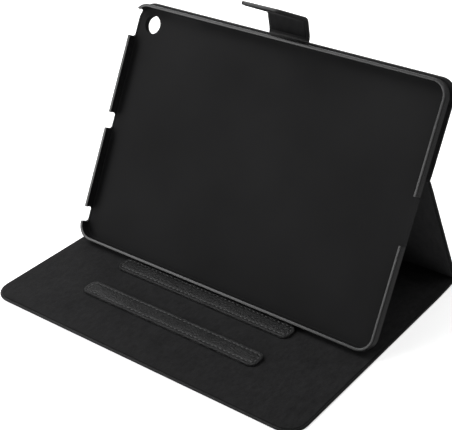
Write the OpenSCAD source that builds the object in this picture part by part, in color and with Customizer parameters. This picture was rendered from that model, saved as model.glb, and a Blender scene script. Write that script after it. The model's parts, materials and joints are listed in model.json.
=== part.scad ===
// Folio case for a tablet of the 9.7-inch class, standing open in landscape.
// Its front cover lies flat, and the rest of the case rises behind it as a stand
// that leans the tray back. X runs along the case, -Y is the front, +Z is up.

/* [Tablet that fits the tray] */
// Long side of the tablet
tablet_len = 240; // [236:0.5:244]
// Short side of the tablet
tablet_wid = 169.5; // [166:0.5:172]
// Thickness of the tablet
tablet_thk = 7.5; // [6:0.1:9]
// Corner radius of the tablet
tablet_corner = 9.5; // [7:0.5:12]

/* [Tray] */
// Thickness of the tray's side walls
tray_wall = 1.5; // [1.2:0.1:2]
// Thickness of the tray's floor
tray_floor = 1.4; // [1:0.1:2]
// How far the snap lip reaches in over the tablet's edge
tray_lip = 0.6; // [0.3:0.1:1]
// Height of the snap lip
tray_lip_h = 0.8; // [0.6:0.1:1.2]
// Radius of the tray's outer bottom edge
tray_round = 3; // [2:0.25:4]
// Diameter of the rear camera opening in the tray
camera_d = 13; // [10:0.5:16]
// Camera centre from the tablet's two nearest edges
camera_in = 11.5; // [10:0.5:13]

/* [Panels] */
// Width of every panel, along X
cover_w = 245.5; // [244:0.5:250]
// Outer skin thickness
skin_t = 0.6; // [0.5:0.1:1]
// Stiffening board thickness
board_t = 1.2; // [1:0.1:1.6]
// Lining thickness
lining_t = 0.6; // [0.4:0.1:0.8]
// Width of the skin's turned-in hem
hem_w = 3; // [2:0.5:5]
// Corner radius of the front cover's free corners
front_corner_r = 13.5; // [8:0.5:16]
// Corner radius of the back panel's free corners
back_corner_r = 11; // [8:0.5:14]
// Front cover, from its crease to its free edge
front_len = 179; // [174:1:182]
// Spine, from crease to crease
spine_len = 18; // [16:0.5:20]
// Stand panel, from crease to crease
stand_len = 113.4; // [112:0.2:115]
// Back panel, from the fold to its top edge
back_len = 62.2; // [58:0.1:66]
// Width of the soft crease between two boards
crease_gap = 4; // [3.6:0.1:5]

/* [Standing pose] */
// Lean of the tray above the table, in degrees
tray_angle = 63.3; // [62:0.1:64.5]
// How far the spine lifts from the table, in degrees
spine_lift = 5; // [3:0.5:6]
// Distance of the stand fold above the tray's lower edge
fold_up = 112.4; // [111:0.2:113]
// Thickness of the glue pad between back panel and tray
pad_t = 0.5; // [0.4:0.1:1]
// Clearance under the tray's lower edge
foot_clear = 0.3; // [0.3:0.1:0.6]

/* [Ridges] */
// Length of each ridge
ridge_len = 142.5; // [130:0.5:160]
// Width of each ridge
ridge_w = 14.4; // [13:0.1:15]
// Corner radius of the ridges' blunt ends
ridge_corner = 5.4; // [4:0.1:6]
// Height of the ridges above the lining
ridge_h = 2.8; // [2:0.1:3]
// Rear ridge centre, ahead of the tray's lower edge
rear_ridge_at = 12.5; // [12.3:0.1:14]
// Distance between the two ridges
ridge_pitch = 35.2; // [32:0.1:38]
// Offset of both ridges along X from the middle of the case
ridge_x = -3; // [-5:0.5:5]

/* [Closing tab] */
// Width of the tab
tab_w = 31; // [26:1:36]
// Thickness of the tab
tab_t = 2.4; // [2:0.1:3]
// Length of the tab's neck, crease to crease
neck_len = 14.6; // [14.5:0.1:20]
// Length of the tab's head, from its crease
head_len = 35.2; // [28:0.2:40]
// Bend of the neck out of the back panel's plane, in degrees
neck_bend = 39; // [20:0.5:50]
// Bend of the head out of the neck's plane, in degrees
head_bend = 52.8; // [30:0.1:70]

/* [Hidden] */
$fn = 64;

// Panels
panel_t = skin_t + board_t + lining_t;
mid_t = panel_t / 2;
half_gap = crease_gap / 2;
skin_wrap = 0.8;
web_t = 1.2;
bead_r = 0.9;
bead_clear = 0.35;
web_end = bead_r + bead_clear;
bead_inset = 1;

// Tray
tray_len = tablet_len + 2 * tray_wall;
tray_wid = tablet_wid + 2 * tray_wall;
tray_corner = tablet_corner + tray_wall;
tray_h = tray_floor + tablet_thk + 0.3;
cut_floor = tray_floor + 0.4;
cut_round = 2;

// Crease axes in the standing pose, as [y, z], from the tray's lower edge at y = 0
tray_foot = [0, panel_t + foot_clear];
tray_dir = [cos(tray_angle), sin(tray_angle)];
tray_out = [-sin(tray_angle), cos(tray_angle)];
fold_axis = tray_foot + fold_up * tray_dir - (pad_t + mid_t) * tray_out;
spine_rise = spine_len * sin(spine_lift);
stand_rise = fold_axis[1] - mid_t - spine_rise;
stand_run = sqrt(stand_len * stand_len - stand_rise * stand_rise);
stand_axis = [fold_axis[0] + stand_run, mid_t + spine_rise];
spine_axis = [stand_axis[0] - spine_len * cos(spine_lift), mid_t];
stand_angle = 180 - atan2(stand_rise, stand_run);
neck_axis = fold_axis + (back_len + half_gap) * tray_dir;
neck_angle = tray_angle + neck_bend;
head_axis = neck_axis + neck_len * [cos(neck_angle), sin(neck_angle)];
head_angle = neck_angle + head_bend;

// The origin lies under the middle of the whole case
front_edge = spine_axis[0] - front_len;
rear_edge = stand_axis[0] + bead_r;
y_shift = -(front_edge + rear_edge) / 2;

// Ridges
ridge_flange = 2.8;
ridge_flange_h = 1.7;
core_gap = 0.5;
stitch_in = 2.3;
stitch_d = 0.5;
stitch_len = 2.1;
stitch_pitch = 3.3;

// Tab and clasp
tab_skin = 0.6;
tab_gap = 1.5;
tab_bead_r = 0.7;
tab_hem = 2;
tab_corner = 5;
magnet_d = 8;
magnet_t = 1;
magnet_spread = 12;
keeper = [30, 14, 0.5];
keeper_in = 20;

// ---------- placing ----------

// Puts a flat piece, drawn along +Y from its crease, on a crease axis at an angle
module on_axis(axis, angle) {
    translate([0, axis[0] + y_shift, axis[1]])
    rotate([angle, 0, 0])
    children();
}

// Puts a piece drawn on the tray's own plane: +Y up the tray, +Z out of its floor
module on_tray() {
    on_axis(tray_foot, tray_angle)
    children();
}

// ---------- outlines ----------

// A rectangle with its four corners rounded
module round_rect(len, wid, r) {
    square([len - 2 * r, wid], center = true);
    square([len, wid - 2 * r], center = true);
    for (sx = [-1, 1], sy = [-1, 1])
        translate([sx * (len / 2 - r), sy * (wid / 2 - r)])
        circle(r);
}

// A strip with round ends
module stadium(len, wid) {
    square([len - wid, wid], center = true);
    for (sx = [-1, 1])
        translate([sx * (len - wid) / 2, 0])
        circle(wid / 2);
}

// A panel from y0 to y1 whose far corners, at y1, are rounded
module free_panel(wid, y0, y1, r) {
    translate([-wid / 2, y0])
    square([wid, y1 - r - y0]);
    translate([-wid / 2 + r, y0])
    square([wid - 2 * r, y1 - y0]);
    for (sx = [-1, 1])
        translate([sx * (wid / 2 - r), y1 - r])
        circle(r);
}

// A panel from y0 to y1 with square corners
module plain_panel(wid, y0, y1) {
    translate([-wid / 2, y0])
    square([wid, y1 - y0]);
}

// ---------- layers of a panel ----------

// The skin of a panel: a sheet with wrapped edges and a turned-in hem.
// children(0) is its outline, children(1) the board's and children(2) the lining's.
module skin_layer() {
    translate([0, 0, -mid_t])
    difference() {
        linear_extrude(panel_t)
        children(0);
        translate([0, 0, skin_t])
        linear_extrude(board_t)
        children(1);
        translate([0, 0, panel_t - lining_t])
        linear_extrude(lining_t + 1)
        children(2);
    }
}

module board_layer() {
    translate([0, 0, skin_t - mid_t])
    linear_extrude(board_t)
    children();
}

module lining_layer() {
    translate([0, 0, mid_t - lining_t])
    linear_extrude(lining_t)
    children();
}

// The soft web that runs from a panel's edge, at y0, towards the crease bead, at y1
module web(wid, y0, y1) {
    translate([-wid / 2, min(y0, y1), -web_t / 2])
    cube([wid, abs(y1 - y0), web_t]);
}

// The rolled bead of soft leather in the middle of a crease
module crease_bead(wid, r) {
    rotate([0, 90, 0])
    cylinder(r = r, h = wid, center = true);
}

// ---------- front cover ----------

// Each outline is inset from the free edges, and by crease_in from the creases
module front_outline(inset, crease_in = 0) {
    mirror([0, 1])
    free_panel(cover_w - 2 * inset, half_gap + crease_in, front_len - inset,
        front_corner_r - inset);
}

module keeper_place() {
    translate([0, -front_len + keeper_in, skin_t - mid_t])
    children();
}

module front_cover_skin() {
    color([0.11, 0.11, 0.115])
    on_axis(spine_axis, 0) {
        skin_layer() {
            front_outline(0);
            front_outline(skin_wrap, skin_wrap);
            front_outline(hem_w);
        }
        web(cover_w, -half_gap, -web_end);
    }
}

module front_cover_board() {
    color([0.35, 0.33, 0.3])
    on_axis(spine_axis, 0)
    difference() {
        board_layer()
        front_outline(skin_wrap, skin_wrap);
        keeper_place()
        linear_extrude(keeper[2])
        square([keeper[0], keeper[1]], center = true);
    }
}

module front_cover_lining() {
    color([0.16, 0.16, 0.16])
    on_axis(spine_axis, 0)
    lining_layer()
    front_outline(hem_w);
}

// Thin steel plate under the skin that the tab's magnets hold on to
module clasp_keeper_plate() {
    color([0.6, 0.6, 0.62])
    on_axis(spine_axis, 0)
    keeper_place()
    linear_extrude(keeper[2])
    square([keeper[0], keeper[1]], center = true);
}

// ---------- ridges ----------

// at is how far the ridge's centre line lies ahead of the tray's lower edge
module on_lining(at) {
    translate([ridge_x, y_shift - at, panel_t])
    children();
}

module ridge_core_shape() {
    linear_extrude(ridge_h - 2 * core_gap)
    stadium(ridge_len - 2 * ridge_flange - 2 * core_gap, ridge_w - 2 * ridge_flange - 2 * core_gap);
}

module ridge_leather(at) {
    color([0.2, 0.2, 0.205])
    on_lining(at)
    difference() {
        union() {
            linear_extrude(ridge_flange_h)
            round_rect(ridge_len, ridge_w, ridge_corner);
            linear_extrude(ridge_h)
            stadium(ridge_len - 2 * ridge_flange, ridge_w - 2 * ridge_flange);
        }
        translate([0, 0, core_gap])
        ridge_core_shape();
    }
}

module ridge_core(at) {
    color([0.45, 0.45, 0.42])
    on_lining(at)
    translate([0, 0, core_gap])
    ridge_core_shape();
}

module stitch() {
    translate([0, 0, ridge_flange_h + stitch_d / 2])
    rotate([0, 90, 0])
    cylinder(d = stitch_d, h = stitch_len, center = true, $fn = 8);
}

// One closed row of stitches round the raised middle
module ridge_stitching(at) {
    run = ridge_len - ridge_w;
    row_r = ridge_w / 2 - stitch_in;
    run_count = round(run / stitch_pitch);
    run_step = run / run_count;
    end_count = round(PI * row_r / stitch_pitch);
    end_step = 180 / end_count;
    color([0.28, 0.28, 0.28])
    on_lining(at) {
        for (side = [-1, 1], i = [0 : run_count - 1])
            translate([(i + 0.5) * run_step - run / 2, side * row_r, 0])
            stitch();
        for (side = [-1, 1], i = [0 : end_count - 1])
            translate([side * run / 2, 0, 0])
            rotate([0, 0, (i + 0.5) * end_step - side * 90])
            translate([row_r, 0, 0])
            rotate([0, 0, 90])
            stitch();
    }
}

module front_ridge_leather() {
    ridge_leather(rear_ridge_at + ridge_pitch);
}

module front_ridge_core() {
    ridge_core(rear_ridge_at + ridge_pitch);
}

module front_ridge_stitching() {
    ridge_stitching(rear_ridge_at + ridge_pitch);
}

module rear_ridge_leather() {
    ridge_leather(rear_ridge_at);
}

module rear_ridge_core() {
    ridge_core(rear_ridge_at);
}

module rear_ridge_stitching() {
    ridge_stitching(rear_ridge_at);
}

// ---------- spine ----------

module spine_outline(inset, crease_in = 0) {
    plain_panel(cover_w - 2 * inset, half_gap + crease_in, spine_len - half_gap - crease_in);
}

module spine_crease() {
    color([0.13, 0.13, 0.13])
    on_axis(spine_axis, spine_lift) {
        crease_bead(cover_w - 2 * bead_inset, bead_r);
        web(cover_w - 2 * bead_inset, 0, half_gap);
    }
}

module spine_skin() {
    color([0.11, 0.11, 0.115])
    on_axis(spine_axis, spine_lift) {
        skin_layer() {
            spine_outline(0);
            spine_outline(skin_wrap, skin_wrap);
            spine_outline(hem_w);
        }
        web(cover_w, spine_len - half_gap, spine_len - web_end);
    }
}

module spine_board() {
    color([0.35, 0.33, 0.3])
    on_axis(spine_axis, spine_lift)
    board_layer()
    spine_outline(skin_wrap, skin_wrap);
}

module spine_lining() {
    color([0.16, 0.16, 0.16])
    on_axis(spine_axis, spine_lift)
    lining_layer()
    spine_outline(hem_w);
}

// ---------- stand panel ----------

module stand_outline(inset, crease_in = 0) {
    plain_panel(cover_w - 2 * inset, half_gap + crease_in, stand_len - half_gap - crease_in);
}

module stand_crease() {
    color([0.13, 0.13, 0.13])
    on_axis(stand_axis, stand_angle) {
        crease_bead(cover_w - 2 * bead_inset, bead_r);
        web(cover_w - 2 * bead_inset, 0, half_gap);
    }
}

module stand_skin() {
    color([0.11, 0.11, 0.115])
    on_axis(stand_axis, stand_angle) {
        skin_layer() {
            stand_outline(0);
            stand_outline(skin_wrap, skin_wrap);
            stand_outline(hem_w);
        }
        web(cover_w, stand_len - half_gap, stand_len - web_end);
    }
}

module stand_board() {
    color([0.35, 0.33, 0.3])
    on_axis(stand_axis, stand_angle)
    board_layer()
    stand_outline(skin_wrap, skin_wrap);
}

module stand_lining() {
    color([0.16, 0.16, 0.16])
    on_axis(stand_axis, stand_angle)
    lining_layer()
    stand_outline(hem_w);
}

// ---------- back panel ----------

module back_outline(inset, crease_in = 0) {
    free_panel(cover_w - 2 * inset, half_gap + crease_in, back_len - inset,
        back_corner_r - inset);
}

// Round opening through every layer behind the tray, in the back panel's own frame
module back_camera_hole(extra) {
    translate([-tablet_len / 2 + camera_in, camera_y() - fold_up, -mid_t - 1])
    cylinder(d = camera_d + extra, h = panel_t + 2);
}

function camera_y() = tray_wall + tablet_wid - camera_in;

module fold_crease() {
    color([0.13, 0.13, 0.13])
    on_axis(fold_axis, tray_angle) {
        crease_bead(cover_w - 2 * bead_inset, bead_r);
        web(cover_w - 2 * bead_inset, 0, half_gap);
    }
}

module back_skin() {
    color([0.11, 0.11, 0.115])
    on_axis(fold_axis, tray_angle)
    difference() {
        union() {
            skin_layer() {
                back_outline(0);
                back_outline(skin_wrap, skin_wrap);
                back_outline(hem_w);
            }
            web(tab_w, back_len, back_len + half_gap - tab_bead_r - bead_clear);
        }
        back_camera_hole(1);
    }
}

module back_board() {
    color([0.35, 0.33, 0.3])
    on_axis(fold_axis, tray_angle)
    difference() {
        board_layer()
        back_outline(skin_wrap, skin_wrap);
        back_camera_hole(2);
    }
}

module back_lining() {
    color([0.16, 0.16, 0.16])
    on_axis(fold_axis, tray_angle)
    difference() {
        lining_layer()
        back_outline(hem_w);
        back_camera_hole(2);
    }
}

// Sheet of adhesive that holds the tray on the back panel
module tray_glue_pad() {
    pad_in = 6;
    color([0.75, 0.73, 0.65])
    on_tray()
    translate([0, 0, -pad_t])
    difference() {
        linear_extrude(pad_t)
        translate([0, (fold_up + half_gap + tray_wid) / 2])
        round_rect(tray_len - 2 * pad_in, tray_wid - fold_up - half_gap - pad_in, 4);
        translate([-tablet_len / 2 + camera_in, camera_y(), -1])
        cylinder(d = camera_d + 3, h = pad_t + 2);
    }
}

// ---------- tray ----------

// The tray's outer form, with a rounded bottom edge
module tray_body() {
    straight_x = tray_len - 2 * tray_corner;
    straight_y = tray_wid - 2 * tray_corner;
    linear_extrude(tray_round)
    round_rect(tray_len - 2 * tray_round, tray_wid - 2 * tray_round, tray_corner - tray_round);
    translate([0, 0, tray_round])
    linear_extrude(tray_h - tray_round)
    round_rect(tray_len, tray_wid, tray_corner);
    for (sy = [-1, 1])
        translate([0, sy * (tray_wid / 2 - tray_round), tray_round])
        rotate([0, 90, 0])
        cylinder(r = tray_round, h = straight_x, center = true);
    for (sx = [-1, 1])
        translate([sx * (tray_len / 2 - tray_round), 0, tray_round])
        rotate([90, 0, 0])
        cylinder(r = tray_round, h = straight_y, center = true);
    for (sx = [-1, 1], sy = [-1, 1])
        translate([sx * straight_x / 2, sy * straight_y / 2, tray_round])
        rotate_extrude()
        translate([tray_corner - tray_round, 0])
        intersection() {
            circle(tray_round);
            translate([0, -tray_round])
            square(2 * tray_round);
        }
}

// A notch through one side wall, from y0 to y1 up the tray, with rounded lower corners
module side_notch(side, y0, y1) {
    notch_h = tray_h - cut_floor + 1;
    translate([side * tray_len / 2, (y0 + y1) / 2 - tray_wid / 2, cut_floor])
    rotate([90, 0, 90])
    linear_extrude(4 * tray_wall, center = true) {
        translate([-(y1 - y0) / 2, cut_round])
        square([y1 - y0, notch_h - cut_round]);
        translate([-(y1 - y0) / 2 + cut_round, 0])
        square([y1 - y0 - 2 * cut_round, notch_h]);
        for (s = [-1, 1])
            translate([s * ((y1 - y0) / 2 - cut_round), cut_round])
            circle(cut_round);
    }
}

// Hard shell that the tablet snaps into, open at its buttons, sockets and speakers
module tray_shell() {
    port_side = [70.5, 101.5];
    power_button = [148.5, 168];
    microphone = [81, 92.5];
    audio_socket = [11.5, 22.5];
    volume_x = -84;
    volume_len = 26;
    volume_h = 4;
    color([0.3, 0.3, 0.31])
    on_tray()
    translate([0, tray_wid / 2, 0])
    difference() {
        tray_body();
        translate([0, 0, tray_floor])
        linear_extrude(tray_h - tray_floor - tray_lip_h)
        round_rect(tablet_len, tablet_wid, tablet_corner);
        translate([0, 0, tray_floor])
        linear_extrude(tray_h)
        round_rect(tablet_len - 2 * tray_lip, tablet_wid - 2 * tray_lip, tablet_corner - tray_lip);
        side_notch(1, port_side[0], port_side[1]);
        side_notch(-1, power_button[0], power_button[1]);
        side_notch(-1, microphone[0], microphone[1]);
        side_notch(-1, audio_socket[0], audio_socket[1]);
        translate([volume_x, tray_wid / 2, tray_floor + tablet_thk / 2])
        rotate([90, 0, 0])
        linear_extrude(4 * tray_wall, center = true)
        stadium(volume_len, volume_h);
        translate([-tablet_len / 2 + camera_in, tablet_wid / 2 - camera_in, -1])
        cylinder(d = camera_d, h = tray_floor + 2);
    }
}

// ---------- closing tab ----------

module neck_outline(inset) {
    plain_panel(tab_w - 2 * inset, tab_gap, neck_len - tab_gap);
}

module head_outline(inset) {
    free_panel(tab_w - 2 * inset, tab_gap, head_len - inset, tab_corner - inset);
}

// Skin of the tab, with a shallow pocket for its lining on the inner side
module tab_skin_layer() {
    translate([0, 0, -tab_t / 2])
    difference() {
        linear_extrude(tab_t)
        children(0);
        translate([0, 0, tab_t - tab_skin])
        linear_extrude(tab_t)
        children(1);
    }
}

module tab_lining_layer() {
    translate([0, 0, tab_t / 2 - tab_skin])
    linear_extrude(tab_skin)
    children();
}

module tab_lower_crease() {
    color([0.13, 0.13, 0.13])
    on_axis(neck_axis, neck_angle) {
        crease_bead(tab_w, tab_bead_r);
        web(tab_w, 0, tab_gap);
    }
}

module tab_neck_skin() {
    color([0.11, 0.11, 0.115])
    on_axis(neck_axis, neck_angle)
    tab_skin_layer() {
        neck_outline(0);
        neck_outline(tab_hem);
    }
}

module tab_neck_lining() {
    color([0.16, 0.16, 0.16])
    on_axis(neck_axis, neck_angle)
    tab_lining_layer()
    neck_outline(tab_hem);
}

module tab_upper_crease() {
    color([0.13, 0.13, 0.13])
    on_axis(head_axis, head_angle) {
        crease_bead(tab_w, tab_bead_r);
        web(tab_w, 0, tab_gap);
    }
}

module magnet_places() {
    for (s = [-1, 1])
        translate([s * magnet_spread / 2, head_len * 0.6, tab_t / 2 - tab_skin - magnet_t])
        children();
}

module tab_head_skin() {
    color([0.11, 0.11, 0.115])
    on_axis(head_axis, head_angle)
    difference() {
        tab_skin_layer() {
            head_outline(0);
            head_outline(tab_hem);
        }
        magnet_places()
        cylinder(d = magnet_d, h = magnet_t + 1);
    }
}

module tab_head_lining() {
    color([0.16, 0.16, 0.16])
    on_axis(head_axis, head_angle)
    tab_lining_layer()
    head_outline(tab_hem);
}

module tab_magnets() {
    color([0.7, 0.7, 0.72])
    on_axis(head_axis, head_angle)
    magnet_places()
    cylinder(d = magnet_d, h = magnet_t);
}

front_cover_skin();
front_cover_board();
front_cover_lining();
clasp_keeper_plate();
front_ridge_leather();
front_ridge_core();
front_ridge_stitching();
rear_ridge_leather();
rear_ridge_core();
rear_ridge_stitching();
spine_crease();
spine_skin();
spine_board();
spine_lining();
stand_crease();
stand_skin();
stand_board();
stand_lining();
fold_crease();
back_skin();
back_board();
back_lining();
tray_glue_pad();
tray_shell();
tab_lower_crease();
tab_neck_skin();
tab_neck_lining();
tab_upper_crease();
tab_head_skin();
tab_head_lining();
tab_magnets();
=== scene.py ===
import json
import math

import bmesh
import bpy
from mathutils import Matrix, Vector, noise


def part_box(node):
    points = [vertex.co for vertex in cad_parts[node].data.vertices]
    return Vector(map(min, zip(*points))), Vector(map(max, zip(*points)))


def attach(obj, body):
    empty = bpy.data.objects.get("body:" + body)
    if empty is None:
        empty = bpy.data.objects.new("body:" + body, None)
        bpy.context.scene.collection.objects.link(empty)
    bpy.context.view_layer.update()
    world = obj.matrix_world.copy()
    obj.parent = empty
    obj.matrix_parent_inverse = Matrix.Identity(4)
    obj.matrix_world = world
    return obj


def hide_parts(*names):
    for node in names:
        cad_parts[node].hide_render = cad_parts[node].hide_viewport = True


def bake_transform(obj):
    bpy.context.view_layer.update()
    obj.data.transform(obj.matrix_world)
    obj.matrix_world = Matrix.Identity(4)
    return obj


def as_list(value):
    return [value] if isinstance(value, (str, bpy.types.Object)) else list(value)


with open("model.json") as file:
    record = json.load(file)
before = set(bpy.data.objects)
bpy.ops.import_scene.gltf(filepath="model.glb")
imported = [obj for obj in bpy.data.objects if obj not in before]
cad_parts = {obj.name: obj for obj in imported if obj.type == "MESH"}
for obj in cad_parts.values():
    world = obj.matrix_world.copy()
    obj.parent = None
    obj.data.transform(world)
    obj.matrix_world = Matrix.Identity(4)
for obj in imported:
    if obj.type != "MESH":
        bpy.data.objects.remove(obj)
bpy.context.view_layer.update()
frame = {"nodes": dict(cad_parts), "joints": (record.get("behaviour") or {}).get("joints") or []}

# The looks of a folio case for a tablet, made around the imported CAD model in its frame.
# Pieces are drawn flat, in millimetres, as the case lies when it is unfolded: x runs along
# the case, y up the panels from a crease axis, and +z is the lining's side. A shape function
# then puts each point where it is in the standing pose, in metres.

MM = 0.001

# ---------- places and sizes, from the frame ----------

hinge = {j["name"]: Vector(j["pos_m"]) for j in frame["joints"]}
limits = {j["name"]: [math.radians(a) for a in j["range_deg"]] for j in frame["joints"]}
SPINE_AXIS = hinge["spine_hinge"]
STAND_AXIS = hinge["stand_hinge"]
FOLD_AXIS = hinge["fold_hinge"]
NECK_AXIS = hinge["tab_neck_hinge"]
HEAD_AXIS = hinge["tab_head_hinge"]


def heading(a, b):
    """The angle of the line from a to b, above +Y."""
    return math.atan2(b.z - a.z, b.y - a.y)


# The direction of each body's plane, away from its crease
ANGLE = {
    "front_cover": 0.0,
    "spine": heading(SPINE_AXIS, STAND_AXIS),
    "stand_panel": heading(STAND_AXIS, FOLD_AXIS),
    "back_panel": heading(FOLD_AXIS, NECK_AXIS),
    "tab_neck": heading(NECK_AXIS, HEAD_AXIS),
}
ANGLE["tab_head"] = ANGLE["tab_neck"] - limits["tab_head_hinge"][0]
AXIS = {
    "front_cover": SPINE_AXIS,
    "spine": SPINE_AXIS,
    "stand_panel": STAND_AXIS,
    "back_panel": FOLD_AXIS,
    "tab_neck": NECK_AXIS,
    "tab_head": HEAD_AXIS,
}


def length_mm(a, b):
    """The distance from a to b, in millimetres."""
    return (b - a).length / MM


SPINE_LEN = length_mm(SPINE_AXIS, STAND_AXIS)
STAND_LEN = length_mm(STAND_AXIS, FOLD_AXIS)
NECK_LEN = length_mm(NECK_AXIS, HEAD_AXIS)
FOLD_TO_NECK = length_mm(FOLD_AXIS, NECK_AXIS)
cover_low, cover_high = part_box("front_cover_skin")
FRONT_LEN = (SPINE_AXIS.y - cover_low.y) / MM
HALF_WIDE = cover_high.x / MM
HALF_THICK = (cover_high.z - cover_low.z) / MM / 2
GAP = 2.0  # from a crease axis to the edge of each panel beside it
BACK_LEN = FOLD_TO_NECK - GAP

# Where each body's crease axis lies on the unfolded case, up from the spine's front crease
LAYOUT = {
    "front_cover": 0.0,
    "spine": 0.0,
    "stand_panel": SPINE_LEN,
    "back_panel": SPINE_LEN + STAND_LEN,
    "tab_neck": SPINE_LEN + STAND_LEN + FOLD_TO_NECK,
    "tab_head": SPINE_LEN + STAND_LEN + FOLD_TO_NECK + NECK_LEN,
}

FREE_CORNER = {"front_cover": 13.5, "back_panel": 11.0}  # corner radius at the free ends
CREASE_CORNER = 1.0  # the same beside a crease
HEM = 1.4  # width of the leather hem that shows round a lining
PINCH = 0.76  # thickness of a panel's edge at a crease, as a share of the whole
PINCH_REACH = 3.0  # how far from its edge a panel thins towards a crease
TUCK = 1.2  # how far a crease strip runs on inside the panels it joins
SHARP = math.radians(50)  # a steeper edge is shaded as an edge


def smooth(t):
    """A soft step: 0 up to t = 0, and 1 from t = 1 on."""
    t = min(max(t, 0.0), 1.0)
    return t * t * (3 - 2 * t)


# ---------- shape functions: from the flat drawing to the standing pose ----------


def plane_of(body):
    """The matrix of a body's own plane, from its crease axis, in metres."""
    return Matrix.Translation(AXIS[body]) @ Matrix.Rotation(ANGLE[body], 4, "X")


def box_on(node, body):
    """A CAD node's box on a body's plane, in millimetres."""
    to_flat = plane_of(body).inverted()
    obj = frame["nodes"][node]
    places = [(to_flat @ (obj.matrix_world @ v.co)) / MM for v in obj.data.vertices]
    return [Vector([pick(p[i] for p in places) for i in range(3)]) for pick in (min, max)]


def on_plane(body):
    """Flat pieces on a body's own plane."""
    at = plane_of(body)
    return lambda x, y, z: at @ (Vector((x, y, z)) * MM)


def round_crease(at, before, after, half):
    """A strip that turns about a crease axis, in the half millimetres on each side of it."""

    def shape(x, y, z):
        turn = before + (after - before) * smooth((y / half + 1) / 2)
        return at + Matrix.Rotation(turn, 3, "X") @ (Vector((x, y, z)) * MM)

    return shape


def bend_reach(before, after, radius):
    """How far a round bend reaches along the strap, on each side of its crease axis."""
    return radius * math.tan(abs(after - before) / 2)


def round_bend(at, before, after, radius):
    """A strap that goes round a bend of that radius, on the inner side of the crease axis."""
    reach = bend_reach(before, after, radius)
    side = math.copysign(radius, after - before)
    centre = at + Matrix.Rotation(before, 3, "X") @ (Vector((0, -reach, side)) * MM)

    def shape(x, y, z):
        if abs(y) >= reach:
            turn = Matrix.Rotation(before if y < 0 else after, 3, "X")
            return at + turn @ (Vector((x, y, z)) * MM)
        turn = before + (after - before) * (y / reach + 1) / 2
        return centre + Matrix.Rotation(turn, 3, "X") @ (Vector((x, 0, z - side)) * MM)

    return shape


# ---------- mesh building ----------


def closed_mesh(name, points, faces):
    """A mesh whose faces all look outwards."""
    mesh = bpy.data.meshes.new(name)
    mesh.from_pydata(points, [], faces)
    made = bmesh.new()
    made.from_mesh(mesh)
    bmesh.ops.recalc_face_normals(made, faces=made.faces)
    made.to_mesh(mesh)
    made.free()
    return mesh


def add_object(name, data):
    obj = bpy.data.objects.new(name, data)
    bpy.context.scene.collection.objects.link(obj)
    return obj


def keep_flat(mesh, places):
    """Stores each point's place on the unfolded case, in metres, as the attribute "flat"."""
    flat = mesh.attributes.new("flat", "FLOAT_VECTOR", "POINT")
    flat.data.foreach_set("vector", [c for place in places for c in place])


def skin_over(name, rings, shape, layout, material, loop=False):
    """A closed mesh through rings of (x, y, z) points. A ring has as many points as the next.
    Its two ends are capped, or joined to each other if loop is true. layout is how far up the
    unfolded case the drawing's y = 0 lies."""
    count = len(rings[0])
    points = [p for ring in rings for p in ring]
    faces = []
    for i in range(len(rings) if loop else len(rings) - 1):
        for k in range(count):
            a, b = i * count + k, i * count + (k + 1) % count
            step = count if i + 1 < len(rings) else -i * count
            faces.append((a, b, b + step, a + step))
    if not loop:
        faces.append(tuple(reversed(range(count))))
        faces.append(tuple(range(len(points) - count, len(points))))
    mesh = closed_mesh(name, [shape(*p) for p in points], faces)
    keep_flat(mesh, [(x * MM, (y + layout) * MM, z * MM) for x, y, z in points])
    mesh.shade_smooth()
    mesh.set_sharp_from_angle(angle=SHARP)
    mesh.materials.append(material)
    obj = add_object(name, mesh)
    return obj


def prism(low, high, points):
    """A closed prism's points and faces. points are its outline, low and high map them to
    the two end faces."""
    count = len(points)
    faces = [tuple(reversed(range(count))), tuple(range(count, 2 * count))]
    for k in range(count):
        n = (k + 1) % count
        faces.append((k, n, n + count, k + count))
    return [low(*p) for p in points] + [high(*p) for p in points], faces


def cut_out(obj, prisms, body):
    """Takes prisms, drawn on the body's plane, out of a flat piece of that body."""
    points, faces = [], []
    for more_points, more_faces in prisms:
        faces += [tuple(i + len(points) for i in face) for face in more_faces]
        points += more_points
    shape = on_plane(body)
    cutter = add_object("cutter", closed_mesh("cutter", [shape(*p) for p in points], faces))
    cut = obj.modifiers.new("cut", "BOOLEAN")
    cut.object, cut.operation, cut.solver = cutter, "DIFFERENCE", "EXACT"
    bpy.context.view_layer.update()
    whole = obj.evaluated_get(bpy.context.evaluated_depsgraph_get())
    done = bpy.data.meshes.new_from_object(whole)
    obj.modifiers.clear()
    obj.data = done
    bpy.data.objects.remove(cutter)
    done.attributes.remove(done.attributes["flat"])
    to_flat = plane_of(body).inverted()
    lift = Vector((0, LAYOUT[body] * MM, 0))
    keep_flat(done, [to_flat @ v.co + lift for v in done.vertices])
    done.shade_smooth()
    done.set_sharp_from_angle(angle=SHARP)


def outline(half_x, y0, y1, r0, r1, inset, step, turns=8):
    """A rounded rectangle's points, inset from it. r0 and r1 are the corner radii at y0 and
    y1, turns the arc steps of a corner, and step about the length of those along a side."""
    least = 0.4  # the corner radius that an inset outline still keeps
    corners = []
    for k, (sx, y, sy, r) in enumerate(
        [(1, y0, 1, r0), (1, y1, -1, r1), (-1, y1, -1, r1), (-1, y0, 1, r0)]
    ):
        left = max(r - inset, least)
        cx, cy = sx * (half_x - inset - left), y + sy * (inset + left)
        angles = [math.pi / 2 * (k - 1 + i / turns) for i in range(turns + 1)]
        corners.append([(cx + left * math.cos(a), cy + left * math.sin(a)) for a in angles])
    cuts = [max(1, round((y1 - y0) / step)), max(1, round(2 * half_x / step))]
    points = []
    for k, corner in enumerate(corners):
        points += corner
        (ax, ay), (bx, by) = corner[-1], corners[(k + 1) % 4][0]
        n = cuts[k % 2]
        points += [(ax + (bx - ax) * i / n, ay + (by - ay) * i / n) for i in range(1, n)]
    return points


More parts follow.
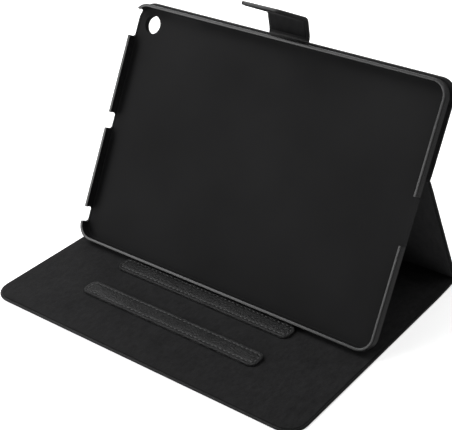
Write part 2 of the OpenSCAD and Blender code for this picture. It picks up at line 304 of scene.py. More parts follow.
def inner_insets(first, half_x, y0, y1):
    """Insets of the rings that fill a panel from first inwards, each step wider."""
    core = 1.2  # how near the last ring comes to the panel's middle line
    growth = 1.35
    last = min(half_x, (y1 - y0) / 2) - core
    found, at, step = [], first, 3.0
    while at < last:
        found.append(at)
        at += step
        step *= growth
    return found + [last]


def pinch(y, y0, y1, creased):
    """The share of its thickness that a panel has at y. creased says which ends have a crease."""
    share = 1.0
    for end, has in ((y0, creased[0]), (y1, creased[1])):
        if has:
            share *= PINCH + (1 - PINCH) * smooth(abs(y - end) / PINCH_REACH)
    return share


def waviness(x, y):
    """A slow, slight unevenness of glued board and cloth, from -1 to 1: swells about 55 mm
    long and 38 mm wide, in one slice of a 3-D noise."""
    return noise.noise(Vector((x / 55, y / 38, 4.2)))


WAVE = 0.14  # the waviness's height on the lining's side; the outer side stays flat
WAVE_REACH = 6.0  # how far in from a panel's edge it grows to its full height
PANEL_STEP = 6.0  # spacing of the points along a panel's sides


def panel_rings(half_x, y0, y1, r0, r1, profile, creased, layout):
    """Rings of a sheet that follows profile, (inset, z) pairs, in from a panel's outline."""
    rings = []
    for inset, z in profile:
        ring = []
        for x, y in outline(half_x, y0, y1, r0, r1, inset, PANEL_STEP):
            share = (z + HALF_THICK) / (2 * HALF_THICK)
            lift = WAVE * share * waviness(x, y + layout) * smooth(inset / WAVE_REACH)
            ring.append((x, y, (z + lift) * pinch(y, y0, y1, creased)))
        rings.append(ring)
    return rings


def squared(share):
    """Moves a point's share of a round edge outwards, so that the edge is nearly square."""
    return math.copysign(abs(share) ** 0.6, share)


def strap_loop(half_x, half_z, lift, thin, columns):
    """The cross-section of a strap with rounded sides, as (x, z) points. lift is its middle's
    height, thin the share of its thickness that is left, and columns its faces across."""
    turns = 8
    edge = min(half_z, half_x)
    right = [
        (half_x - edge + edge * squared(math.cos(a)), half_z * squared(math.sin(a)))
        for a in (math.pi * (i / turns - 0.5) for i in range(turns + 1))
    ]
    flat = half_x - edge
    top = [(flat - 2 * flat * i / columns, half_z) for i in range(1, columns)]
    left = [(-x, -z) for x, z in right]
    low = [(-x, -z) for x, z in top]
    return [(x, lift + z * thin) for x, z in right + top + left + low]


def strap_rings(stations, half_z, lift, columns):
    """Rings of a strap. stations are (y, half width, share of the thickness)."""
    return [
        [(x, y, z) for x, z in strap_loop(half_x, half_z, lift, thin, columns)]
        for y, half_x, thin in stations
    ]


# ---------- materials ----------


def add_node(tree, kind, values=None, **settings):
    """A shader node. values are its inputs by name or number: a number, or another's output."""
    made = tree.nodes.new("ShaderNode" + kind)
    for key, value in settings.items():
        setattr(made, key, value)
    for key, value in (values or {}).items():
        if isinstance(value, bpy.types.NodeSocket):
            tree.links.new(value, made.inputs[key])
        else:
            made.inputs[key].default_value = value
    return made


def new_material(name, **values):
    """A Principled material, and its tree and shader. values are the shader's own inputs."""
    made = bpy.data.materials.new(name)
    made.use_nodes = True
    shader = made.node_tree.nodes["Principled BSDF"]
    for key, value in values.items():
        shader.inputs[key.replace("_", " ")].default_value = value
    return made, made.node_tree, shader


def flat_place(tree):
    """A point's place on the unfolded case, in metres."""
    return add_node(tree, "Attribute", attribute_name="flat").outputs["Vector"]


def object_place(tree):
    return add_node(tree, "TexCoord").outputs["Object"]


def noise_of(tree, place, cells_per_m, detail, roughness=0.5):
    values = {"Vector": place, "Scale": cells_per_m, "Detail": detail, "Roughness": roughness}
    return add_node(tree, "TexNoise", values).outputs["Fac"]


def cells_of(tree, place, cells_per_m):
    """Rounded cells, as in leather: 0 at their middles and more towards their borders."""
    values = {"Vector": place, "Scale": cells_per_m, "Randomness": 0.9, "Smoothness": 0.35}
    return add_node(tree, "TexVoronoi", values, feature="SMOOTH_F1").outputs["Distance"]


def spread(tree, value, low, high):
    """value, from about 0.3 to 0.7 as noise is, spread to run from low to high."""
    values = {"Value": value, "From Min": 0.3, "From Max": 0.7, "To Min": low, "To Max": high}
    return add_node(tree, "MapRange", values).outputs["Result"]


def colours_of(tree, value, dark, light):
    """A colour between dark and light. The mix node's inputs 0, 6 and 7 are its factor and its
    two colours, and output 2 is the mixed colour."""
    values = {0: value, 6: (*dark, 1), 7: (*light, 1)}
    return add_node(tree, "Mix", values, data_type="RGBA").outputs[2]


def add_bump(tree, shader, height, depth_m):
    values = {"Height": height, "Distance": depth_m, "Strength": 1.0}
    bump = add_node(tree, "Bump", values)
    tree.links.new(bump.outputs["Normal"], shader.inputs["Normal"])


def add_math(tree, operation, *values):
    return add_node(tree, "Math", dict(enumerate(values)), operation=operation).outputs[0]


def leather(name, grain_mm, depth_m, dark, light, gloss, valleys):
    """Coated leather cloth: rounded grain cells with fine pores, in slightly uneven gloss.
    gloss is its specular level, and valleys how much darker the lines between cells are."""
    made, tree, shader = new_material(name, Specular_IOR_Level=gloss)
    place = flat_place(tree)
    shift = add_node(tree, "TexNoise", {"Vector": place, "Scale": 400 / grain_mm})
    small = add_node(tree, "VectorMath", {0: shift.outputs["Color"], 3: 0.0004 * grain_mm},
                     operation="SCALE")
    warped = add_node(tree, "VectorMath", {0: place, 1: small.outputs[0]}, operation="ADD")
    grain = cells_of(tree, warped.outputs[0], 1000 / grain_mm)
    pores = noise_of(tree, place, 3500 / grain_mm, 3)
    cloudy = noise_of(tree, place, 45, 4, 0.6)
    add_bump(tree, shader, add_math(tree, "MULTIPLY_ADD", grain, -1.0, pores), depth_m)
    valley = add_math(tree, "MULTIPLY", grain, valleys)
    tone = add_math(tree, "SUBTRACT", spread(tree, cloudy, 0.7, 1.0), valley)
    tree.links.new(colours_of(tree, tone, dark, light), shader.inputs["Base Color"])
    tree.links.new(spread(tree, cloudy, 0.45, 0.4), shader.inputs["Roughness"])
    return made


def microfibre(name):
    """Brushed lining: soft nap lying in patches, and fine fibres."""
    made, tree, shader = new_material(
        name, Specular_IOR_Level=0.08, Sheen_Weight=0.07, Sheen_Roughness=0.6,
        Sheen_Tint=(0.8, 0.8, 0.82, 1),
    )
    place = flat_place(tree)
    stretched = add_node(tree, "Mapping", {"Vector": place, "Scale": (1, 0.45, 1)}).outputs[0]
    nap = noise_of(tree, stretched, 420, 6, 0.75)
    patches = noise_of(tree, place, 40, 3, 0.55)
    fibres = noise_of(tree, stretched, 2600, 3, 0.7)
    mottled = add_math(tree, "MULTIPLY_ADD", nap, 0.8, add_math(tree, "MULTIPLY", patches, 0.2))
    tone = spread(tree, mottled, 0.0, 1.0)
    dark, light = (0.0035, 0.0035, 0.0036), (0.018, 0.018, 0.0185)
    tree.links.new(colours_of(tree, tone, dark, light), shader.inputs["Base Color"])
    tree.links.new(spread(tree, fibres, 0.85, 0.98), shader.inputs["Roughness"])
    add_bump(tree, shader, add_math(tree, "ADD", fibres, nap), 0.00012)
    return made


def moulded(name, dark, light, rough, floor_rough):
    """Moulded plastic: satin walls and rim, and a matte, finely eroded floor."""
    matte_up_to, satin_from = 0.0035, 0.006  # heights over the back panel's middle, in metres
    made, tree, shader = new_material(name)
    place = flat_place(tree)
    speckle = noise_of(tree, place, 2200, 3, 0.6)
    cloudy = noise_of(tree, place, 14, 3)
    tree.links.new(
        colours_of(tree, spread(tree, cloudy, 0, 1), dark, light), shader.inputs["Base Color"]
    )
    height = add_node(tree, "SeparateXYZ", {0: place}).outputs["Z"]
    values = {"Value": height, "From Min": matte_up_to, "From Max": satin_from}
    above = add_node(tree, "MapRange", values, interpolation_type="SMOOTHSTEP").outputs["Result"]
    gloss = add_math(tree, "MULTIPLY", above, rough - floor_rough)
    matte = add_math(tree, "ADD", spread(tree, speckle, -0.05, 0.06), floor_rough)
    tree.links.new(add_math(tree, "ADD", gloss, matte), shader.inputs["Roughness"])
    level = add_math(tree, "MULTIPLY", above, 0.4)
    tree.links.new(add_math(tree, "ADD", level, 0.1), shader.inputs["Specular IOR Level"])
    add_bump(tree, shader, speckle, 0.00003)
    return made


def plain_stuff(name, dark, light, cells_per_m, rough, depth_m, metal=0.0):
    """A hidden or small part's material: two tones, uneven gloss and a fine surface."""
    made, tree, shader = new_material(name, Metallic=metal)
    place = object_place(tree)
    fine = noise_of(tree, place, cells_per_m, 4, 0.6)
    tree.links.new(
        colours_of(tree, spread(tree, fine, 0, 1), dark, light), shader.inputs["Base Color"]
    )
    tree.links.new(spread(tree, fine, rough - 0.06, rough + 0.06), shader.inputs["Roughness"])
    add_bump(tree, shader, fine, depth_m)
    return made


LEATHER_TONES = (0.005, 0.005, 0.0052), (0.0125, 0.0125, 0.0129)
SKIN = leather("case_leather", 0.9, 0.00012, *LEATHER_TONES, 0.28, 0.6)
STRAP = leather("tab_leather", 0.9, 0.00012, *LEATHER_TONES, 0.65, 0.6)
RIDGE = leather(
    "ridge_leather", 1.2, 0.00045, (0.004, 0.004, 0.0041), (0.03, 0.03, 0.0306), 0.45, 1.1
)
LINING = microfibre("brushed_microfibre")
SHELL = moulded("tray_plastic", (0.008, 0.008, 0.0083), (0.012, 0.012, 0.0124), 0.3, 0.7)
THREAD = plain_stuff("sewing_thread", (0.055, 0.055, 0.056), (0.12, 0.12, 0.122), 2500, 0.6, 0.00006)
BOARD = plain_stuff("grey_board", (0.14, 0.13, 0.11), (0.24, 0.22, 0.19), 700, 0.85, 0.00008)
FOAM = plain_stuff("foam", (0.12, 0.12, 0.11), (0.2, 0.2, 0.19), 1500, 0.9, 0.00015)
STEEL = plain_stuff("keeper_steel", (0.4, 0.4, 0.41), (0.6, 0.6, 0.6), 900, 0.35, 0.00001, 1.0)
NICKEL = plain_stuff("magnet_nickel", (0.55, 0.53, 0.5), (0.7, 0.68, 0.64), 600, 0.22, 0.00001, 1.0)
GLUE = plain_stuff("glue_film", (0.4, 0.37, 0.27), (0.55, 0.52, 0.4), 300, 0.5, 0.00003)

# ---------- panels ----------

# Heights over a panel's middle plane
LINING_TOP = 1.23  # top of the lining, beside the hem
LINING_MID = 1.17  # the same further in, where no hem lies under it
HEM_TOP = 1.05
HEM_UNDER = 0.78  # the hem where the lining lies over it, and in the groove beside the lining

LINING_THICK = 0.42
GROOVE = 0.7  # width of the groove in the hem, beside the lining
HEM_END = 7.0  # from a panel's edge to where the folded-in leather ends, under the lining
LINING_LAP = 0.1  # how far a lining runs on past a creased end of the leather


def leather_profile(half_x, y0, y1):
    """Outer side, rounded edge, turned-in hem and back along the inside: a folded sheet."""
    inwards = inner_insets(3.2, half_x, y0, y1)
    turned_in = min(HEM_END, 0.6 * inwards[-1])
    outer = [(i, -HALF_THICK) for i in reversed(inwards)]
    outer += [(2.0, -HALF_THICK), (1.0, -1.14), (0.45, -0.93), (0.12, -0.55), (0.0, 0.0)]
    hem = [(0.1, 0.4), (0.3, 0.76), (0.5, HEM_TOP), (HEM - GROOVE, HEM_TOP)]
    hem += [(HEM - GROOVE + 0.15, HEM_UNDER), (HEM + 0.3, HEM_UNDER), (turned_in, HEM_UNDER)]
    back = [(turned_in - 0.1, 0.66), (HEM, 0.64), (1.0, 0.58), (0.62, 0.3)]
    back += [(0.6, -0.3), (1.0, -0.64)]
    return outer + hem + back + [(i, -0.65) for i in inwards]


def lining_profile(half_x, y0, y1):
    """A thin sheet, with a soft edge, that lies over the hem and then on the board."""
    inwards = inner_insets(1.4, half_x, y0, y1)
    over = [(i, LINING_TOP + (LINING_MID - LINING_TOP) * smooth((i - 3) / 4)) for i in inwards]
    under = [(i, z - LINING_THICK) for i, z in reversed(over)]
    rim = [(0.25, 0.83), (0.05, 0.87), (0.0, 0.98), (0.08, 1.12), (0.3, 1.2), (0.7, LINING_TOP)]
    return under + rim + over


def make_panel(body, y0, y1, creased, leather_node, lining_node, leather_name, lining_name):
    """A panel's leather skin and its lining. Sides with a crease have no hem of their own."""
    shape, layout = on_plane(body), LAYOUT[body]
    r0, r1 = (CREASE_CORNER if has else FREE_CORNER[body] for has in creased)
    profile = leather_profile(HALF_WIDE, y0, y1)
    rings = panel_rings(HALF_WIDE, y0, y1, r0, r1, profile, creased, layout)
    skin = skin_over(leather_name, rings, shape, layout, SKIN)
    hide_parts(leather_node)
    low = y0 - LINING_LAP if creased[0] else y0 + HEM
    high = y1 + LINING_LAP if creased[1] else y1 - HEM
    half_x = HALF_WIDE - HEM
    l0, l1 = (CREASE_CORNER if has else FREE_CORNER[body] - HEM for has in creased)
    profile = lining_profile(half_x, low, high)
    rings = panel_rings(half_x, low, high, l0, l1, profile, creased, layout)
    cloth = skin_over(lining_name, rings, shape, layout, LINING)
    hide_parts(lining_node)
    return skin, cloth


def declare_sheets(skin, cloth, board, y0, y1, creased, crease_cloths):
    """The leather has a turn-in at each free edge, and the lining leaves the hem free there. This
    only counts the panel's free ends and reads crease_cloths as a list; it makes nothing.
    crease_cloths are the strips in the creases that belong to the lining."""
    free_ends = 2 - sum(creased)
    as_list(crease_cloths)


# Each panel's two ends, from its crease axis, and whether each end is at a crease
PANELS = {
    "front_cover": (-FRONT_LEN, -GAP, (False, True)),
    "spine": (GAP, SPINE_LEN - GAP, (True, True)),
    "stand_panel": (GAP, STAND_LEN - GAP, (True, True)),
    "back_panel": (GAP, BACK_LEN, (True, False)),
}
# What the names of each panel's nodes and pieces start with
STEM = {"front_cover": "front_cover", "spine": "spine", "stand_panel": "stand",
        "back_panel": "back"}

skins, cloths = {}, {}
for body, (y0, y1, creased) in PANELS.items():
    stem = STEM[body]
    skins[body], cloths[body] = make_panel(
        body, y0, y1, creased, stem + "_skin", stem + "_lining",
        stem + "_leather", stem + "_microfibre",
    )
    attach(skins[body], body)
    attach(cloths[body], body)

# ---------- creases ----------

CREASE_LEATHER = 0.62  # half the thickness of the leather strip in a crease
CREASE_LINING = 0.16  # half the thickness of the lining strip on it
CREASE_COLUMNS = 44
CREASE_STEPS = 20
CREASE_SHORT = 0.15  # how far a crease strip stays in from the sides of the panels
CREASE_SUNK = 0.06  # how far its lining sinks into its leather


def blend_across(obj):
    """Bakes obj's placement into its mesh; it is not blended over the bend. inner, how far it stands
    from the crease axis on the inner side of the bend, is not used."""
    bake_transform(obj)


def make_crease(joint, a, b, node, name):
    """The soft strip between two panels: leather outside, lining inside."""
    shape = round_crease(hinge[joint], ANGLE[a], ANGLE[b], GAP)
    layout = LAYOUT[b]
    ends = GAP + TUCK
    ys = [ends * (2 * i / CREASE_STEPS - 1) for i in range(CREASE_STEPS + 1)]
    stations = [(y, HALF_WIDE - CREASE_SHORT, 1.0) for y in ys]
    rings = strap_rings(stations, CREASE_LEATHER, 0, CREASE_COLUMNS)
    strip = skin_over(name + "_crease_leather", rings, shape, layout, SKIN)
    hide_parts(node)
    stations = [(y, HALF_WIDE - HEM, 1.0) for y in ys]
    lift = CREASE_LEATHER + CREASE_LINING - CREASE_SUNK
    rings = strap_rings(stations, CREASE_LINING, lift, CREASE_COLUMNS)
    cloth = skin_over(name + "_crease_microfibre", rings, shape, layout, LINING)
    for obj in (strip, cloth):
        blend_across(obj)
    return cloth


spine_cloth = make_crease("spine_hinge", "front_cover", "spine", "spine_crease", "spine")
stand_cloth = make_crease("stand_hinge", "spine", "stand_panel", "stand_crease", "stand")
fold_cloth = make_crease("fold_hinge", "stand_panel", "back_panel", "fold_crease", "fold")

for body, crease_cloths in (
    ("front_cover", []), ("spine", [spine_cloth]), ("stand_panel", [stand_cloth]),
    ("back_panel", [fold_cloth]),
):
    declare_sheets(skins[body], cloths[body], STEM[body] + "_board", *PANELS[body], crease_cloths)

# ---------- ridges ----------

STITCH_IN = 2.35  # from the ridge's outline to its row of stitches
STITCH_PITCH = 3.3
STITCH_LEN = 1.8
STITCH_ARCH = 0.16  # how much higher a stitch is at its middle than at its ends
THREAD_R = 0.33
RIDGE_ROUND = 5.4  # corner radius of the blunt ends
RIDGE_WAVE = 0.05  # height of the leather's slight unevenness


def ridge_profile():
    """A flat border, a groove that the stitches lie in, and a softly padded middle."""
    edge = [(1.3, -0.35), (0.4, -0.3), (0.08, 0.1), (0.0, 0.6), (0.03, 1.45), (0.16, 1.92)]
    border = [(0.45, 2.16), (0.85, 2.24), (1.35, 2.2), (1.7, 2.06)]
    groove = [(1.95, 1.9), (STITCH_IN, 1.8), (2.7, 1.95)]
    middle = [(3.05, 2.3), (3.3, 2.42), (3.8, 2.5), (4.7, 2.58), (5.6, 2.64), (6.5, 2.66)]
    return edge + border + groove + middle


def make_stitch(points, faces, at, along):
    """Adds one stitch to a mesh: a short thread that dips into the leather at both ends."""
    across = Vector((-along.y, along.x, 0))
    up = Vector((0, 0, 1))
    rows, sides = 7, 8
    first = len(points)
    for i in range(rows):
        t = i / (rows - 1) * 2 - 1
        swell = math.sqrt(max(0.0, 1 - t ** 4))
        centre = at + along * (t * STITCH_LEN / 2) + up * (STITCH_ARCH * (1 - t * t))
        for k in range(sides):
            a = 2 * math.pi * k / sides
            r = THREAD_R * max(swell, 0.15)  # the ends stay wide enough for a face
            points.append(centre + across * (r * math.cos(a)) + up * (r * math.sin(a)))
    for i in range(rows - 1):
        for k in range(sides):
            a, b = first + i * sides + k, first + i * sides + (k + 1) % sides
            faces.append((a, b, b + sides, a + sides))
    faces.append(tuple(range(first, first + sides)))
    faces.append(tuple(range(first + (rows - 1) * sides, first + rows * sides)))


def row_of_stitches(half_x, half_y):
    """(place, direction) of each stitch on a closed row, evenly spaced."""
    corners = outline(half_x, -half_y, half_y, RIDGE_ROUND, RIDGE_ROUND, STITCH_IN, 1.0, 16)
    line = [Vector((x, y, 0)) for x, y in corners]
    line.append(line[0])
    lengths = [(b - a).length for a, b in zip(line, line[1:])]
    total = sum(lengths)
    count = round(total / STITCH_PITCH)
    found, done, k = [], 0.0, 0
    for i in range(count):
        want = total * (i + 0.5) / count
        while done + lengths[k] < want:
            done += lengths[k]
            k += 1
        along = (line[k + 1] - line[k]).normalized()
        found.append((line[k] + along * (want - done), along))
    return found


def around(middle):
    """Pieces drawn round a place on the front cover."""
    return lambda x, y, z: middle + Vector((x, y, z)) * MM


def make_ridge(stem):
    """A ridge's padded leather cover, and its closed row of stitches."""
    low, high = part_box(stem + "_leather")
    half_x, half_y = (high.x - low.x) / MM / 2, (high.y - low.y) / MM / 2
    middle = Vector(((low.x + high.x) / 2, (low.y + high.y) / 2, low.z))
    layout = (middle.y - SPINE_AXIS.y) / MM
    shape = around(middle)
    rings = [
        [(x, y, z + RIDGE_WAVE * noise.noise(Vector((x / 5, y / 5, layout))) * smooth(inset))
         for x, y in outline(half_x, -half_y, half_y, RIDGE_ROUND, RIDGE_ROUND, inset, 2.0, 12)]
        for inset, z in ridge_profile()
    ]
    cover = skin_over(stem + "_grained_cover", rings, shape, layout, RIDGE)
    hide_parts(stem + "_leather")
    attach(cover, "front_cover")
    points, faces = [], []
    groove_z = dict(ridge_profile())[STITCH_IN]
    for at, along in row_of_stitches(half_x, half_y):
        make_stitch(points, faces, at + Vector((0, 0, groove_z)), along)
    mesh = closed_mesh(stem + "_thread", [shape(*p) for p in points], faces)
    mesh.shade_smooth()
    mesh.materials.append(THREAD)
    thread = add_object(stem + "_thread", mesh)
    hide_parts(stem + "_stitching")
    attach(thread, "front_cover")


make_ridge("front_ridge")
make_ridge("rear_ridge")

# ---------- closing tab ----------

_, tab_high = box_on("tab_head_skin", "tab_head")
TAB_HALF = tab_high.x
HEAD_LEN = tab_high.y
TAB_HALF_THICK = 1.2
TAB_LINING = 0.18  # half the thickness of the tab's lining
TAB_SUNK = 0.12  # how far the lining sinks into the leather
TAB_COLUMNS = 12
TAB_STEP = 0.8
TAB_HEM = 2.0  # width of the leather that shows round the lining
TAB_CORNER = 5.0
TAB_TUCK = 1.5  # how far the neck runs on between the back panel's layers
TAB_CLEAR = 1.2  # from the root's crease axis to the neck's lining
SEAM_AT = NECK_LEN / 2  # the neck's leather and the head's meet here
ROOT_THIN = 0.62  # the share of its thickness that the strap has at its root
ROOT_REACH = 4.0  # how far it takes to reach its full thickness
ROOT_RADIUS = 9.0  # of the bend at the tab's root
TOP_RADIUS = 4.8  # of the bend from neck to head


def tab_stations(start, end, half_x, corner=None):
    """Stations of a strap from start to end. With a corner radius the far end is a free one:
    it has rounded corners, and a blunt nose as seen from the side."""
    count = max(2, round((end - start) / TAB_STEP))
    ys = [start + (end - start) * i / count for i in range(count + 1)]
    if corner is None:
        return [(y, half_x, 1.0) for y in ys]
    nose = TAB_HALF_THICK
    ys = [y for y in ys if y < end - 1.5 * nose]
    ys += [end - nose * (1 - math.sin(math.pi / 2 * i / 6)) for i in range(7)]
    found = []
    # The very end keeps some width and thickness, so that it can be capped
    for y in ys:
        into = max(0.0, y - (end - corner))
        narrowed = corner - math.sqrt(max(0.0, corner ** 2 - into ** 2))
        past = min(max(0.0, y - (end - nose)) / nose, 0.995)
        found.append((y, half_x - min(narrowed, corner * 0.75), (1 - past ** 3) ** (1 / 3)))
    return found


def thinner_root(stations):
    """The strap thins where it goes in between the layers of the back panel."""
    return [(y, half_x, ROOT_THIN + (1 - ROOT_THIN) * smooth((y + GAP) / ROOT_REACH))
            for y, half_x, _ in stations]


neck_shape = round_bend(NECK_AXIS, ANGLE["back_panel"], ANGLE["tab_neck"], ROOT_RADIUS)
stations = thinner_root(tab_stations(-GAP - TAB_TUCK, SEAM_AT, TAB_HALF))
rings = strap_rings(stations, TAB_HALF_THICK, 0, TAB_COLUMNS)
neck = skin_over("tab_neck_leather", rings, neck_shape, LAYOUT["tab_neck"], STRAP)
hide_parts("tab_lower_crease", "tab_neck_skin")

head_shape = round_bend(HEAD_AXIS, ANGLE["tab_neck"], ANGLE["tab_head"], TOP_RADIUS)
stations = tab_stations(SEAM_AT - NECK_LEN, HEAD_LEN, TAB_HALF, TAB_CORNER)
rings = strap_rings(stations, TAB_HALF_THICK, 0, TAB_COLUMNS)
head = skin_over("tab_head_leather", rings, head_shape, LAYOUT["tab_head"], STRAP)
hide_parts("tab_upper_crease", "tab_head_skin")

lining_lift = TAB_HALF_THICK + TAB_LINING - TAB_SUNK
half_lining = TAB_HALF - TAB_HEM
stations = tab_stations(TAB_CLEAR, SEAM_AT, half_lining)
rings = strap_rings(stations, TAB_LINING, lining_lift, TAB_COLUMNS)
neck_cloth = skin_over("tab_neck_microfibre", rings, neck_shape, LAYOUT["tab_neck"], LINING)
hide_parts("tab_neck_lining")
stations = tab_stations(SEAM_AT - NECK_LEN, HEAD_LEN - TAB_HEM, half_lining,
                        TAB_CORNER - TAB_HEM)
rings = strap_rings(stations, TAB_LINING, lining_lift, TAB_COLUMNS)
head_cloth = skin_over("tab_head_microfibre", rings, head_shape, LAYOUT["tab_head"], LINING)
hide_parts("tab_head_lining")

for obj, joint, a, b, radius in (
    (neck, "tab_neck_hinge", "back_panel", "tab_neck", ROOT_RADIUS),
    (neck_cloth, "tab_neck_hinge", "back_panel", "tab_neck", ROOT_RADIUS),
    (head, "tab_head_hinge", "tab_neck", "tab_head", TOP_RADIUS),
    (head_cloth, "tab_head_hinge", "tab_neck", "tab_head", TOP_RADIUS),
):
    blend_across(obj)

# ---------- hard tray and the hidden parts ----------


def dress(node, material):
    """Gives a CAD node its material."""
    obj = frame["nodes"][node]
    obj.data.materials.clear()
    obj.data.materials.append(material)


TRAY_CORNER = 11.0
TRAY_WALL = 1.5
TRAY_FLOOR = 1.4
TRAY_LIP = 0.6  # how far the snap lip reaches in past the wall
TRAY_ROUND = 3.0  # radius of the underside's edge
RIM_OUTSIDE, RIM_INSIDE = 0.45, 0.35  # radii of the rim's two edges
CORNER_INSIDE = 0.9  # radius where the wall meets the floor
EDGE_ROUND = 0.22  # width of the rounding along every cut edge
NOTCH_ROUND = 2.0
NOTCH_SILL = 0.4  # from the tray's floor up to the notches
CAMERA_IN = 13.0  # from the tray's outer sides to the middle of the camera opening
CAMERA_R = 6.5
COLLAR_WALL = 0.5  # how much wider the opening is in the back panel, for the collar
RIGHT_NOTCHES = [(70.5, 101.5)]  # port side, from and to, up the tray
LEFT_NOTCHES = [(148.5, 168.0), (81.0, 92.5), (11.5, 22.5)]  # button, microphone, audio socket
VOLUME_SLOT = (-97.0, -71.0, 4.0)  # from and to along the top wall, and its height
SLOT_UP = 3.75  # from the tray's floor to the slot's middle
CUT_DEPTH = 4.0  # how far a cut goes to each side of the tray's outer face
UNDIVIDED = 100.0  # a step longer than any notch, so that its sides have no points between
CUT_PAST = 6.0  # how far notches go on past the rim, and the camera opening to each side

tray_low, tray_high = box_on("tray_shell", "back_panel")


def arc(cx, cz, r, start, end, turns):
    """(inset, z) pairs on an arc; angles in degrees, 0 towards larger insets."""
    angles = [math.radians(start + (end - start) * i / turns) for i in range(turns + 1)]
    return [(cx + r * math.cos(a), cz + r * math.sin(a)) for a in angles]


def tray_profile(half_x, y0, y1, tall):
    """Underside, rounded edge, wall, rim with a rounded edge on each side, snap lip, inner
    wall and floor."""
    inner = TRAY_WALL + TRAY_LIP
    inwards = inner_insets(6.0, half_x, y0, y1)
    low = [(i, 0.0) for i in reversed(inwards)]
    low += arc(TRAY_ROUND, TRAY_ROUND, TRAY_ROUND, 270, 180, 8)
    rim = arc(RIM_OUTSIDE, tall - RIM_OUTSIDE, RIM_OUTSIDE, 180, 90, 5)
    rim += arc(inner - RIM_INSIDE, tall - RIM_INSIDE, RIM_INSIDE, 90, 0, 4)
    lip = [(inner, tall - 0.62), (inner - 0.08, tall - 0.74), (TRAY_WALL, tall - 0.95)]
    wall = [(TRAY_WALL, tall - 2.0), (TRAY_WALL, TRAY_FLOOR + 1.2)]
    floor = arc(TRAY_WALL + CORNER_INSIDE, TRAY_FLOOR + CORNER_INSIDE, CORNER_INSIDE, 180, 270, 5)
    return low + rim + lip + wall + floor + [(i, TRAY_FLOOR) for i in inwards]


def tray_cuts():
    """Prisms for the notches, the volume slot and the camera opening."""
    found = []
    z0, z1 = tray_low.z + TRAY_FLOOR + NOTCH_SILL, tray_high.z + CUT_PAST
    for side, notches in ((tray_high.x, RIGHT_NOTCHES), (tray_low.x, LEFT_NOTCHES)):
        for start, end in notches:
            middle, half = tray_low.y + (start + end) / 2, (end - start) / 2
            shape = outline(half, z0, z1, NOTCH_ROUND, NOTCH_ROUND, 0, UNDIVIDED)
            found.append(prism(
                lambda a, z, m=middle, s=side: (s - CUT_DEPTH, m + a, z),
                lambda a, z, m=middle, s=side: (s + CUT_DEPTH, m + a, z), shape,
            ))
    start, end, tall = VOLUME_SLOT
    middle, half = (start + end) / 2, (end - start) / 2
    z = tray_low.z + TRAY_FLOOR + SLOT_UP
    shape = outline(half, z - tall / 2, z + tall / 2, tall / 2, tall / 2, 0, UNDIVIDED)
    found.append(prism(lambda a, z: (middle + a, tray_high.y - CUT_DEPTH, z),
                       lambda a, z: (middle + a, tray_high.y + CUT_DEPTH, z), shape))
    found.append(camera_prism(CAMERA_R))
    return found


CAMERA_AT = (tray_low.x + CAMERA_IN, tray_high.y - CAMERA_IN)


def camera_prism(radius):
    """A round opening through every layer at the camera."""
    cx, cy = CAMERA_AT
    turns = 48
    circle = [(cx + radius * math.cos(2 * math.pi * i / turns),
               cy + radius * math.sin(2 * math.pi * i / turns)) for i in range(turns)]
    return prism(lambda x, y: (x, y, -CUT_PAST), lambda x, y: (x, y, CUT_PAST), circle)


def make_tray():
    """The moulded tray, with its openings cut and their edges rounded."""
    shape = on_plane("back_panel")
    half_x = (tray_high.x - tray_low.x) / 2
    y0, y1 = tray_low.y, tray_high.y
    rings = [
        [(x, y, tray_low.z + z)
         for x, y in outline(half_x, y0, y1, TRAY_CORNER, TRAY_CORNER, inset, 12.0, 16)]
        for inset, z in tray_profile(half_x, y0, y1, tray_high.z - tray_low.z)
    ]
    made = skin_over("tray_moulding", rings, shape, LAYOUT["back_panel"], SHELL)
    cut_out(made, tray_cuts(), "back_panel")
    rounding = made.modifiers.new("rounded_edges", "BEVEL")
    rounding.width = EDGE_ROUND * MM
    rounding.segments = 2
    rounding.limit_method = "ANGLE"
    rounding.angle_limit = SHARP
    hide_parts("tray_shell")
    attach(made, "back_panel")


def make_collar():
    """The plastic ring that lines the camera opening through the back panel."""
    cx, cy = CAMERA_AT
    inside, top = CAMERA_R + 0.05, tray_low.z
    section = [
        (inside, top), (inside, -1.25), (inside + 0.15, -1.45), (inside + 1.3, -1.45),
        (inside + 1.55, -1.35), (inside + 1.6, -1.18), (inside + 0.55, -1.18), (inside + 0.55, top),
    ]
    turns = 64
    rings = []
    for i in range(turns):
        a = 2 * math.pi * i / turns
        rings.append([(cx + r * math.cos(a), cy + r * math.sin(a), z) for r, z in section])
    ring = skin_over("camera_collar", rings, on_plane("back_panel"), LAYOUT["back_panel"], SHELL,
                     loop=True)
    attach(ring, "back_panel")


make_tray()
for piece in (skins["back_panel"], cloths["back_panel"]):
    cut_out(piece, [camera_prism(CAMERA_R + COLLAR_WALL)], "back_panel")
make_collar()

for stem in ("front_cover", "spine", "stand", "back"):
    dress(stem + "_board", BOARD)
for stem in ("front", "rear"):
    dress(stem + "_ridge_core", FOAM)
dress("clasp_keeper_plate", STEEL)
dress("tab_magnets", NICKEL)
dress("tray_glue_pad", GLUE)

# ---------- floor, light and camera ----------


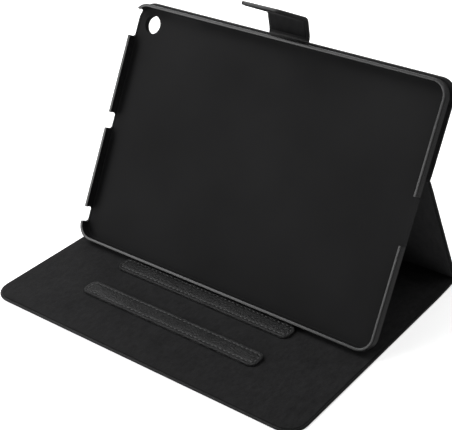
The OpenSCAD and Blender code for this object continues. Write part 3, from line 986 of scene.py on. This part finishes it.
def make_floor():
    """A white floor that glows a little, and more far from the case, so that it has only a
    faint shadow and no grey horizon. The case doesn't mirror it."""
    size, z = 8.0, -0.0002  # it lies just under the case
    mesh = bpy.data.meshes.new("studio_floor")
    corners = [(-size, -size, z), (size, -size, z), (size, size, z), (-size, size, z)]
    mesh.from_pydata(corners, [], [(0, 1, 2, 3)])
    made, tree, shader = new_material(
        "pale_floor", Base_Color=(0.9, 0.9, 0.9, 1), Roughness=0.7, Specular_IOR_Level=0.1,
        Emission_Color=(1, 1, 1, 1),
    )
    length = add_node(tree, "VectorMath", {0: object_place(tree)}, operation="LENGTH")
    values = {"Value": length.outputs["Value"], "From Min": 0.6, "From Max": 1.6,
              "To Min": 0.6, "To Max": 1.0}
    glow = add_node(tree, "MapRange", values, interpolation_type="SMOOTHSTEP")
    tree.links.new(glow.outputs["Result"], shader.inputs["Emission Strength"])
    mesh.materials.append(made)
    floor = add_object("studio_floor", mesh)
    floor.visible_glossy = False


def make_backdrop():
    """A white dome that only the camera sees."""
    made = bmesh.new()
    bmesh.ops.create_uvsphere(made, u_segments=32, v_segments=16, radius=7.5)
    mesh = bpy.data.meshes.new("studio_backdrop")
    made.to_mesh(mesh)
    made.free()
    white, _, _ = new_material("white_backdrop", Base_Color=(0, 0, 0, 1),
                               Emission_Color=(1, 1, 1, 1), Emission_Strength=1.0)
    mesh.materials.append(white)
    dome = add_object("studio_backdrop", mesh)
    dome.visible_diffuse = dome.visible_glossy = dome.visible_shadow = False


def make_light(name, place, aim, size, power):
    """An oblong area light at place, turned towards aim."""
    data = bpy.data.lights.new(name, "AREA")
    data.shape = "RECTANGLE"
    data.size, data.size_y = size
    data.energy = power
    light = add_object(name, data)
    light.location = place
    light.rotation_mode = "QUATERNION"
    light.rotation_quaternion = (Vector(aim) - Vector(place)).to_track_quat("-Z", "Y")


def make_world():
    """A dim white sky, for what no lamp reaches."""
    world = bpy.data.worlds.new("studio")
    bpy.context.scene.world = world
    world.use_nodes = True
    background = world.node_tree.nodes["Background"]
    background.inputs["Color"].default_value = (1, 1, 1, 1)
    background.inputs["Strength"].default_value = 0.15


def make_camera():
    """The photo's own view. Place, angles and lens were fitted to what the photo shows."""
    place = Vector((0.3859, -0.5081, 0.4293))
    azimuth, elevation, roll = (math.radians(a) for a in (37.14, 30.22, -0.675))
    ahead = Vector((
        -math.sin(azimuth) * math.cos(elevation),
        math.cos(azimuth) * math.cos(elevation),
        -math.sin(elevation),
    ))
    right = Vector((math.cos(azimuth), math.sin(azimuth), 0))
    up = right.cross(ahead)
    across = right * math.cos(roll) + up * math.sin(roll)
    above = up * math.cos(roll) - right * math.sin(roll)
    data = bpy.data.cameras.new("camera")
    data.sensor_fit = "HORIZONTAL"
    data.sensor_width = 36.0
    data.lens = 90.11
    data.clip_start, data.clip_end = 0.01, 50
    camera = add_object("camera", data)
    turned = Matrix((across, above, -ahead)).transposed().to_4x4()
    camera.matrix_world = Matrix.Translation(place) @ turned
    bpy.context.scene.camera = camera


make_floor()
make_backdrop()
make_world()
make_light("front_left", (-1.0, -1.3, 0.52), (0, 0, 0.08), (0.9, 0.7), 10)
make_light("key_left", (-0.8, -0.5, 1.4), (0, 0, 0.05), (1.0, 1.0), 17)
make_light("top_back", (0.1, 0.9, 1.5), (0, 0, 0.1), (1.6, 0.8), 4)
make_light("back_left", (-0.9, 1.05, 0.75), (-0.06, -0.05, 0), (0.8, 0.5), 6)
make_light("top_right", (0.9, 0.0, 1.8), (0.1, 0, 0), (1.2, 1.2), 9)
make_camera()
bpy.context.scene.view_settings.view_transform = "Standard"

bpy.context.view_layer.update()
